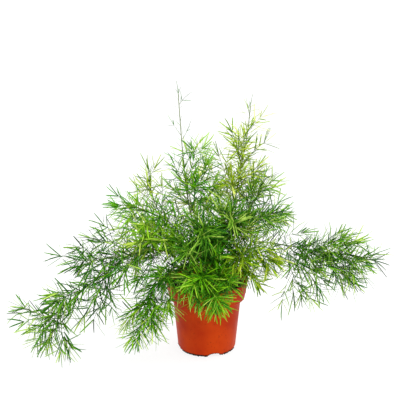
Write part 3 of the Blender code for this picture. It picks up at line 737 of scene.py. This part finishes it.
def prism(name, outline, start, end, turn):
    """A closed prism: an outline of (y, z) carried along X from start to end, then turned round Z."""
    outline = np.array(outline)
    count = len(outline)
    points = np.concatenate([np.column_stack([np.full(count, x), outline]) for x in (start, end)])
    across = points[:, 0] * math.cos(turn) - points[:, 1] * math.sin(turn)
    points[:, 1] = points[:, 0] * math.sin(turn) + points[:, 1] * math.cos(turn)
    points[:, 0] = across
    j = np.arange(count)
    n = (j + 1) % count
    quads = np.stack([j, n, n + count, j + count], axis=-1)
    fan = np.arange(1, count - 1)
    far = np.stack([np.zeros_like(fan), fan, fan + 1], axis=-1)
    return mesh_from(name, points, quads, np.vstack([far[:, ::-1], far + count]), {})


def cut(thing, cutters):
    """Take the cutters' forms out of a piece, for good, and remove them."""
    for cutter in cutters:
        step = thing.modifiers.new("cut", "BOOLEAN")
        step.operation = "DIFFERENCE"
        step.solver = "EXACT"
        step.object = cutter
    depsgraph = bpy.context.evaluated_depsgraph_get()
    mesh = bpy.data.meshes.new_from_object(thing.evaluated_get(depsgraph), depsgraph=depsgraph)
    thing.modifiers.clear()
    thing.data = mesh
    for cutter in cutters:
        bpy.data.objects.remove(cutter, do_unlink=True)


def arc(centre_radius, centre_height, radius, start, end, points):
    """Points of (radius, height) on an arc of the profile, with its angles in degrees."""
    angles = [math.radians(start + (end - start) * i / (points - 1)) for i in range(points)]
    return [(centre_radius + radius * math.cos(a), centre_height + radius * math.sin(a)) for a in angles]


def band_radius(height):
    """The radius of the band's outer face at a height; it flares up to the rim."""
    share = (height - POT_HEIGHT) / BAND_HEIGHT
    return RIM_RADIUS + (RIM_RADIUS - BAND_FOOT_RADIUS) * share


def wall_line(inset):
    """The pot's outer line from foot to band, moved in by the inset: rounded foot, body and step."""
    step = POT_HEIGHT - BAND_HEIGHT + inset
    rounding = FOOT_ROUNDING - inset
    foot = arc(BODY_FOOT_RADIUS - FOOT_ROUNDING, FOOT_ROUNDING, rounding, -90, -4, 10)
    soft = STEP_ROUNDING
    return foot + [(BODY_TOP_RADIUS - inset, step - soft), (BODY_TOP_RADIUS - inset + soft, step),
                   (band_radius(step) - inset - soft, step), (band_radius(step + soft) - inset, step + soft)]


def channel(name, index, grown):
    """One arched drainage channel under the base, grown all round by a wall.

    Over half a turn, the arch goes across by half its width times the cosine, and up by its height times
    the sine to the arch's power, which makes it fuller than an ellipse.
    """
    half_width = DRAIN_WIDTH / 2 + grown
    angles = np.pi * (1 - np.arange(17) / 16)
    height = (DRAIN_HEIGHT + grown) * np.sin(angles).clip(0) ** ARCH_POWER
    arch = np.stack([half_width * np.cos(angles), height], axis=-1)
    outline = np.vstack([[-half_width, -DRAIN_HEIGHT], arch, [half_width, -DRAIN_HEIGHT]])
    turn = DRAIN_TURN + index * 2 * math.pi / DRAIN_COUNT
    return prism(name, outline[::-1], DRAIN_START - grown, RIM_RADIUS, turn)


def make_pot():
    """The pot: a turned form, hollowed, with arched channels and round drain holes cut from below."""
    rim = arc(RIM_RADIUS - EDGE_ROUNDING, POT_HEIGHT - EDGE_ROUNDING, EDGE_ROUNDING, 0, 90, 5)
    pot = turned("pot_shell", [(0.0, 0.0)] + wall_line(0.0) + rim + [(0.0, POT_HEIGHT)], POT_SIDES)
    above = POT_HEIGHT + BAND_HEIGHT
    room = turned("room", [(0.0, POT_WALL)] + wall_line(POT_WALL)
                  + [(band_radius(above) - POT_WALL, above), (0.0, above)], POT_SIDES)
    cut(room, [channel("hump", index, POT_WALL) for index in range(DRAIN_COUNT)])
    holes = []
    for index in range(DRAIN_COUNT):
        turn = DRAIN_TURN + index * 2 * math.pi / DRAIN_COUNT
        radius, reach = DRAIN_HOLE_RADIUS, DRAIN_HOLE_REACH
        hole = turned("hole", [(0, -reach), (radius, -reach), (radius, reach), (0, reach)], HOLE_SIDES)
        hole.data.transform(Matrix.Translation((DRAIN_HOLE_PLACE * math.cos(turn),
                                                DRAIN_HOLE_PLACE * math.sin(turn), 0)))
        holes.append(hole)
    cut(pot, [room] + [channel("drain", index, 0.0) for index in range(DRAIN_COUNT)] + holes)
    pot.data.shade_smooth()
    pot.data.set_sharp_from_angle(angle=POT_SHARP_FROM)
    pot.data.materials.clear()
    pot.data.materials.append(TERRACOTTA)
    settle(pot, "pot")


def settle(piece, node):
    """Hide the solid that a piece stands for, and hang the piece on the root body so that it moves with it.
    """
    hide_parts(node)
    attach(piece, "root")


def mix_height(x, y):
    """The surface of the mix: its depth under the rim, with lumps from waves of 8 to 33 mm."""
    lumps = (np.sin(x * 190 + 1) * np.cos(y * 230) * 0.55 + np.sin(x * 410 - y * 330 + 2.1) * 0.25
             + np.sin(x * 610 + y * 540 + 0.7) * np.cos(x * 380 - y * 700) * 0.30)
    return POT_HEIGHT - MIX_DEPTH_UNDER_RIM + MIX_LUMP * lumps


def make_mix():
    """The potting mix: a body that fills the pot, with a lumpy top, and crumbs that lie half sunk in it."""
    inset = POT_WALL + TOUCH_GAP
    top = POT_HEIGHT - MIX_DEPTH_UNDER_RIM
    edge = band_radius(top) - inset
    rings = [(edge * share, top) for share in np.linspace(1.0, 0.02, MIX_RINGS)]
    mix = turned("mix_body", [(0.0, inset)] + wall_line(inset) + rings + [(0.0, top)], MIX_SIDES)
    points = np.empty(len(mix.data.vertices) * 3)
    mix.data.vertices.foreach_get("co", points)
    points = points.reshape(-1, 3)
    radius = np.hypot(points[:, 0], points[:, 1])
    upper = (points[:, 2] > top - NO_HEIGHT) & (radius < edge - NO_HEIGHT)
    points[upper, 2] = mix_height(points[upper, 0], points[upper, 1])
    mix.data.vertices.foreach_set("co", points.ravel())
    cut(mix, [channel("hump", index, inset) for index in range(DRAIN_COUNT)])
    mix.data.shade_smooth()
    mix.data.set_sharp_from_angle(angle=MIX_SHARP_FROM)
    mix.data.materials.clear()
    mix.data.materials.append(PEAT)
    settle(mix, "potting_mix")
    rng = np.random.default_rng(CRUMB_SEED)
    size = TOP_CRUMB[0] + (TOP_CRUMB[1] - TOP_CRUMB[0]) * rng.uniform(0, 1, TOP_CRUMBS) ** 3
    reach = (edge - CRUMBS_OFF_WALL) * np.sqrt(rng.uniform(0, 1, TOP_CRUMBS))
    turn = rng.uniform(0, 2 * np.pi, TOP_CRUMBS)
    x, y = reach * np.cos(turn), reach * np.sin(turn)
    middles = np.stack([x, y, mix_height(x, y) + CRUMB_RISE * size], axis=-1)
    crumbs = lumps_mesh("mix_crumbs", middles, size, rng)
    crumbs.data.materials.append(PEAT)
    settle(crumbs, "potting_mix")
    make_foot_soil_and_arch_shade(rng)


def foot_radius(height):
    """The radius of the pot's outer face at a height near its rounded foot."""
    drop = np.clip(1 - height / FOOT_ROUNDING, 0, 1)
    return BODY_FOOT_RADIUS - FOOT_ROUNDING * (1 - np.sqrt(1 - drop ** 2))


def make_foot_soil_and_arch_shade(rng):
    """Crumbs that stick to the pot's foot in patches round it, and dark crumbs along the arch of each
    channel that are painted shade under the arch's edge.
    """
    size = rng.uniform(*FOOT_CRUMB, FOOT_CRUMBS)
    turn = rng.choice(np.radians(SOILED_AT), FOOT_CRUMBS) + rng.normal(0, SOILED_SPREAD, FOOT_CRUMBS)
    height = rng.uniform(*SOILED_HEIGHTS, FOOT_CRUMBS)
    away = (turn - DRAIN_TURN + np.pi / DRAIN_COUNT) % (2 * np.pi / DRAIN_COUNT) - np.pi / DRAIN_COUNT
    clear = np.abs(away) > SOIL_OFF_CHANNEL
    size, turn, height = size[clear], turn[clear], np.maximum(height, 1.5 * size)[clear]
    radius = foot_radius(height)
    around = np.stack([radius * np.cos(turn), radius * np.sin(turn), height], axis=-1)
    # Painted shade: dark crumbs along each channel's arch stand for the shade under its edge
    count = ARCH_SHADE_CRUMBS * DRAIN_COUNT
    angle = rng.uniform(0.1 * np.pi, 0.9 * np.pi, count)
    over = DRAIN_HEIGHT * np.sin(angle) ** ARCH_POWER + ARCH_SHADE_CRUMB[0]
    side = DRAIN_WIDTH / 2 * np.cos(angle)
    out = np.sqrt(foot_radius(over) ** 2 - side ** 2)
    turn = DRAIN_TURN + np.arange(count) % DRAIN_COUNT * 2 * np.pi / DRAIN_COUNT
    arch_shade = np.stack([out * np.cos(turn) - side * np.sin(turn),
                       out * np.sin(turn) + side * np.cos(turn), over], axis=-1)
    sizes = np.concatenate([size, rng.uniform(*ARCH_SHADE_CRUMB, count)])
    soil_and_arch_shade = lumps_mesh("foot_crumbs_and_arch_shade", np.vstack([around, arch_shade]), sizes, rng)
    soil_and_arch_shade.data.materials.append(PEAT)
    settle(soil_and_arch_shade, "potting_mix")


def lumps_mesh(name, centres, sizes, rng):
    """Irregular lumps: twelve corners of a regular twenty-faced body, each pushed in or out by up to 30%."""
    golden = (1 + 5 ** 0.5) / 2
    corners = np.array([(-1, golden, 0), (1, golden, 0), (-1, -golden, 0), (1, -golden, 0), (0, -1, golden),
                        (0, 1, golden), (0, -1, -golden), (0, 1, -golden), (golden, 0, -1), (golden, 0, 1),
                        (-golden, 0, -1), (-golden, 0, 1)]) / math.hypot(1, golden)
    faces = np.array([(0, 11, 5), (0, 5, 1), (0, 1, 7), (0, 7, 10), (0, 10, 11), (1, 5, 9), (5, 11, 4),
                      (11, 10, 2), (10, 7, 6), (7, 1, 8), (3, 9, 4), (3, 4, 2), (3, 2, 6), (3, 6, 8),
                      (3, 8, 9), (4, 9, 5), (2, 4, 11), (6, 2, 10), (8, 6, 7), (9, 8, 1)])
    total = len(centres)
    stretch = rng.uniform(*CRUMB_STRETCH, (total, 1, 3))
    rough = rng.uniform(*CRUMB_ROUGHNESS, (total, 12, 1))
    points = centres[:, None] + sizes[:, None, None] * corners[None] * stretch * rough
    start = np.arange(total)[:, None, None] * 12
    return mesh_from(name, points.reshape(-1, 3), NO_QUADS, (faces[None] + start).reshape(-1, 3),
                     {"tone": np.repeat(rng.uniform(0, 1, total), 12)})


# Materials

def linear(hex_colour):
    """An sRGB hex colour turned to linear."""
    value = [int(hex_colour[i:i + 2], 16) / 255 for i in (1, 3, 5)]
    return [v / 12.92 if v <= 0.04045 else ((v + 0.055) / 1.055) ** 2.4 for v in value] + [1.0]


def add(tree, kind, settings=None, links=None):
    """Add a node, set its properties and sockets, and link its inputs to the outputs given for them."""
    node = tree.nodes.new(kind)
    for key, value in (settings or {}).items():
        if isinstance(key, str) and hasattr(node, key):
            setattr(node, key, value)
        else:
            node.inputs[key].default_value = value
    for key, output in (links or {}).items():
        tree.links.new(output, node.inputs[key])
    return node


def material(name, roughness, **sockets):
    """A new material with one Principled shader; sockets are set on it directly."""
    made = bpy.data.materials.new(name)
    made.use_nodes = True
    shader = made.node_tree.nodes["Principled BSDF"]
    shader.inputs["Roughness"].default_value = roughness
    for key, value in sockets.items():
        shader.inputs[key.replace("_", " ")].default_value = value
    return made, made.node_tree, shader


def ramp(tree, factor, stops):
    """A colour ramp over (place, hex colour) stops."""
    node = add(tree, "ShaderNodeValToRGB", links={"Fac": factor})
    points = node.color_ramp.elements
    while len(points) < len(stops):
        points.new(0.5)
    for point, (place, colour) in zip(points, stops):
        point.position = place
        point.color = linear(colour)
    return node.outputs["Color"]


def needle_green(name, stops):
    """Living leaf tissue with a thin wax skin: green by age, darker inside the plant partly as painted
    shade, each needle its own, and a soft satin shine.
    """
    made, tree, shader = material(name, 0.5, Specular_IOR_Level=0.12)
    age_and_shade, tone, along = (add(tree, "ShaderNodeAttribute", {"attribute_name": name}).outputs["Fac"]
                        for name in ("age_and_shade", "tone", "along"))
    own = add(tree, "ShaderNodeMath", {"operation": "MULTIPLY_ADD", 1: OWN_SPREAD, 2: -OWN_SPREAD / 2},
              {0: tone}).outputs[0]
    both = add(tree, "ShaderNodeMath", {"operation": "ADD"}, {0: age_and_shade, 1: own}).outputs[0]
    # A needle's point is paler than its root: partly painted shade, darker where the root sits inside the
    # plant
    point = add(tree, "ShaderNodeMath", {"operation": "MULTIPLY_ADD", 1: POINT_PALER},
                {0: along, 2: both}).outputs[0]
    tree.links.new(ramp(tree, point, stops), shader.inputs["Base Color"])
    return made


def stem_green(name):
    """Thin green bark over a wiry stem: olive when old and brighter on the young outer twigs, the inner
    stems kept darker partly as painted shade; nearly dull.
    """
    made, tree, shader = material(name, 0.55, Specular_IOR_Level=0.1)
    age_and_shade = add(tree, "ShaderNodeAttribute", {"attribute_name": "age_and_shade"}).outputs["Fac"]
    tree.links.new(ramp(tree, age_and_shade, [(0.0, "#5e6a28"), (0.3, "#3f661c"), (0.8, "#6f9830")]),
                   shader.inputs["Base Color"])
    return made


GREENS = {
    "deep_green": needle_green("deep green needle", [
        (0.0, "#0e3502"), (0.35, "#2d7008"), (0.7, "#6ca020"), (1.0, "#a6c454")]),
    "fresh_green": needle_green("fresh green needle", [
        (0.0, "#1c5200"), (0.35, "#489404"), (0.7, "#84bc12"), (1.0, "#b6d052")]),
    "yellow_green": needle_green("yellow green needle", [
        (0.0, "#3c6c00"), (0.35, "#7ca20a"), (0.7, "#b0c62c"), (1.0, "#dce484")]),
}
STEM_GREEN = stem_green("wiry stem")


def speckle(tree, scale, detail, low, high):
    """Noise on Object coordinates, stretched so that low to high becomes 0 to 1.

    The scale is in bumps a metre: 28 is a bump each 36 mm, 60 each 17 mm, 110 each 9 mm, 420 each 2.4 mm,
    520 each 1.9 mm, 700 each 1.4 mm and 900 each 1.1 mm.
    """
    place = add(tree, "ShaderNodeTexCoord").outputs["Object"]
    noise = add(tree, "ShaderNodeTexNoise", {"Scale": scale, "Detail": detail}, {"Vector": place})
    stretched = add(tree, "ShaderNodeMapRange", {"From Min": low, "From Max": high},
                    {"Value": noise.outputs["Fac"]})
    return stretched.outputs["Result"]


def blend_colour(tree, factor, first, second):
    """Two colours mixed by a factor."""
    node = add(tree, "ShaderNodeMix", {"data_type": "RGBA"}, {0: factor})
    for socket, colour in ((node.inputs[6], first), (node.inputs[7], second)):
        if isinstance(colour, str):
            socket.default_value = linear(colour)
        else:
            tree.links.new(colour, socket)
    return node.outputs[2]


def terracotta_plastic():
    """Injection-moulded polypropylene dyed terracotta: even colour with a faint flow mottle of 36 mm and
    specks of 2.4 mm, a soft gloss that varies over 17 mm, a moulded grain of 1.4 mm (drawn coarser than the
    real one, so that it shows), and dark brown smears of 9 mm at the foot and the rim: potting mix rubbed
    in, and under the rounded foot painted shade as well."""
    made, tree, shader = material("terracotta plastic", 0.4, Specular_IOR_Level=0.05)
    place = add(tree, "ShaderNodeTexCoord").outputs["Object"]
    height = add(tree, "ShaderNodeSeparateXYZ", links={"Vector": place}).outputs["Z"]
    plain = blend_colour(tree, speckle(tree, 28, 3, 0.35, 0.65), "#a62a04", "#b83a06")
    fine = blend_colour(tree, speckle(tree, 420, 2, 0.62, 0.75), plain, "#8e2a06")
    foot = add(tree, "ShaderNodeMapRange", {"From Min": FOOT_SOIL_AND_SHADE[1], "From Max": FOOT_SOIL_AND_SHADE[0]},
               {"Value": height}).outputs["Result"]
    rim = add(tree, "ShaderNodeMapRange", {"From Min": RUBBED_RIM, "From Max": POT_HEIGHT, "To Max": 0.5},
              {"Value": height}).outputs["Result"]
    near = add(tree, "ShaderNodeMath", {"operation": "MAXIMUM"}, {0: foot, 1: rim}).outputs[0]
    # Dark brown near the foot and the rim: mix rubbed in, and under the rounded foot painted shade as well
    dirt_and_foot_shade = add(tree, "ShaderNodeMath", {"operation": "MULTIPLY"},
               {0: near, 1: speckle(tree, 110, 5, 0.40, 0.50)}).outputs[0]
    tree.links.new(blend_colour(tree, dirt_and_foot_shade, fine, "#2c170c"), shader.inputs["Base Color"])
    rough = add(tree, "ShaderNodeMapRange", {"To Min": 0.34, "To Max": 0.5},
                {"Value": speckle(tree, 60, 4, 0.3, 0.7)}).outputs["Result"]
    tree.links.new(rough, shader.inputs["Roughness"])
    bump = add(tree, "ShaderNodeBump", {"Strength": 0.15, "Distance": 0.0002},
               {"Height": speckle(tree, 700, 2, 0, 1)})
    tree.links.new(bump.outputs["Normal"], shader.inputs["Normal"])
    return made


def peat_mix():
    """Damp peat and fine bark: near black between crumbs of 1 to 2 mm and dull brown on them, no shine."""
    made, tree, shader = material("peat mix", 0.92, Specular_IOR_Level=0.2)
    colour = ramp(tree, speckle(tree, 520, 5, 0.3, 0.72), [
        (0.0, "#0f0a05"), (0.45, "#23160c"), (0.8, "#3a2716"), (1.0, "#57402a")])
    tree.links.new(colour, shader.inputs["Base Color"])
    bump = add(tree, "ShaderNodeBump", {"Strength": 0.8, "Distance": 0.0008},
               {"Height": speckle(tree, 900, 5, 0, 1)})
    tree.links.new(bump.outputs["Normal"], shader.inputs["Normal"])
    return made


TERRACOTTA = terracotta_plastic()
PEAT = peat_mix()


# The fronds

def shade_at(frond, out):
    """The share of needles that a branch has lost, by where it leaves the main stem."""
    inner = min(max((SHADE_END - out) / SHADE_FADE, 0.0), 1.0)
    outer = min(max((out - SHADE_END) / SHADE_FADE, 0.0), 1.0)
    return frond.shade * inner + frond.outer * outer


def grow_solids():
    """The main stem of every frond and the branches on each, by the rule of the solids."""
    thicket = Thicket()
    mains = []
    for frond in FRONDS:
        route = metres(frond.route)
        line = smooth_line([(*route[0][:2], STEM_FOOT)] + route)
        length = np.linalg.norm(np.diff(line, axis=0), axis=1).sum()
        main = Stem(line, frond.bare * length)
        thicket.add(np.vstack([main.rings, main.end_needle()]))
        mains.append(main)
    grown = [grow_sprays(frond, main, thicket) for frond, main in zip(FRONDS, mains)]
    for number, (frond, main) in enumerate(zip(FRONDS, mains)):
        grown[number] += grow_branches(frond, main, thicket, random.Random(BRANCH_SEED + number))
    return mains, grown


def make_fronds():
    """Every frond: the stems of the solids, their finer twigs, and all the needles that stay clear."""
    low, high = np.array(cad_low), np.array(cad_high)
    for number, (frond, main, branches) in enumerate(zip(FRONDS, *grow_solids())):
        rng = np.random.default_rng(NEEDLE_SEED + number)
        bare = max(frond.bare, NEEDLE_START) * main.length
        stem = Shoot(main.line, bare, MAIN_RADIUS, MAIN_AGE, young=frond.young)
        shoots = []
        for branch in branches:
            out = np.linalg.norm(main.line - branch.line[0], axis=1).argmin() / len(main.line)
            # Branches further out on the main stem are paler: partly painted shade, which keeps the inside
            # darker
            age_and_shade = BRANCH_AGE + frond.paler * out ** 2 + rng.normal(0, BRANCH_AGE_SPREAD)
            shade = shade_at(frond, out) * (0.5 if len(shoots) < len(frond.sprays) else 1.0)
            shoots.append(Shoot(branch.line, BRANCH_BARE, BRANCH_RADIUS, age_and_shade, shade=shade))
        shoots += grow_twigs(frond, stem, shoots, rng)
        beds = [needle_beds(frond, stem, frond.pitch * frond.core, rng)]
        beds += [needle_beds(frond, shoot, frond.pitch, rng) for shoot in shoots]
        place, direction, outward, length, age_and_shade, youth = (np.concatenate(item) for item in zip(*beds))
        t = np.array([0.25, 0.6, 1.0])[None, :, None]
        probe = place[:, None] + t * length[:, None, None] * direction[:, None]
        inside = ((probe > low + BOX_CLEARANCE) & (probe < high - BOX_CLEARANCE)).all(axis=(1, 2))
        good = inside & off_the_pot(probe, NEEDLE_CLEARANCE).all(axis=1)
        leaves = needles(frond.name + "_needles", place[good], direction[good], outward[good], length[good],
                         age_and_shade[good], youth[good], frond.wide, rng)
        leaves.data.materials.append(GREENS[frond.slot])
        wood = stems(frond.name + "_stems", [stem] + shoots)
        wood.data.materials.append(STEM_GREEN)
        for piece in (leaves, wood):
            settle(piece, frond.name)


make_pot()
make_mix()
make_fronds()


# Studio

# The camera's place, the degrees that it looks down, and its focal length and picture width in pixels
CAMERA_PLACE = (-0.010, -1.171, 0.544)
CAMERA_TILT = 15.3
CAMERA_FOCUS = 857
PICTURE_WIDTH = 400
SENSOR_WIDTH = 36.0

# The floor: how far it reaches, and the even glow that keeps it pale; the surround: how bright it is at the
# horizon, and how much brighter straight above
FLOOR_REACH = 40.0
FLOOR_GLOW = 0.84
SKY_GLOW = 1.02
SKY_LIFT = 0.60

# The soft lights all aim at the middle of the plant. Each: name, place, size in metres and power in watts
LIGHTS_AIM = (0.0, 0.0, 0.16)
LIGHTS = [
    ("top light", (0.5, -0.6, 1.6), 1.2, 25.0),
    ("side light", (-1.4, -0.9, 1.0), 1.2, 6.0),
]


def make_studio():
    """A pale floor, two large soft lights, a white surround, and the camera of the photograph."""
    scene = bpy.context.scene
    corners = FLOOR_REACH * np.array([[-1, -1, 0], [1, -1, 0], [1, 1, 0], [-1, 1, 0]])
    floor = mesh_from("floor", corners, np.array([[0, 1, 2, 3]]), NO_TRIANGLES, {})
    made, tree, shader = material("pale floor", 0.9)
    shader.inputs["Base Color"].default_value = linear("#6c6c6c")
    shader.inputs["Emission Color"].default_value = linear("#ffffff")
    shader.inputs["Emission Strength"].default_value = FLOOR_GLOW
    floor.data.materials.append(made)
    world = bpy.data.worlds.new("white surround")
    scene.world = world
    world.use_nodes = True
    tree = world.node_tree
    sky = tree.nodes["Background"]
    sky.inputs["Color"].default_value = (1, 1, 1, 1)
    way = add(tree, "ShaderNodeTexCoord").outputs["Generated"]
    height = add(tree, "ShaderNodeSeparateXYZ", links={"Vector": way}).outputs["Z"]
    glow = add(tree, "ShaderNodeMath", {"operation": "MULTIPLY_ADD", 1: SKY_LIFT, 2: SKY_GLOW}, {0: height})
    tree.links.new(glow.outputs[0], sky.inputs["Strength"])
    for name, place, size, power in LIGHTS:
        lamp = bpy.data.lights.new(name, "AREA")
        lamp.size = size
        lamp.energy = power
        thing = bpy.data.objects.new(name, lamp)
        thing.location = place
        aim = np.array(LIGHTS_AIM) - np.array(place)
        yaw = math.atan2(aim[1], aim[0])
        pitch = math.acos(-aim[2] / np.linalg.norm(aim))
        thing.rotation_euler = (pitch, 0.0, yaw - math.pi / 2)
        scene.collection.objects.link(thing)
    camera = bpy.data.cameras.new("camera")
    camera.sensor_width = SENSOR_WIDTH
    camera.lens = CAMERA_FOCUS / PICTURE_WIDTH * SENSOR_WIDTH
    thing = bpy.data.objects.new("camera", camera)
    thing.location = CAMERA_PLACE
    thing.rotation_euler = (math.radians(90 - CAMERA_TILT), 0.0, 0.0)
    scene.collection.objects.link(thing)
    scene.camera = thing
    scene.view_settings.view_transform = "Standard"


make_studio()
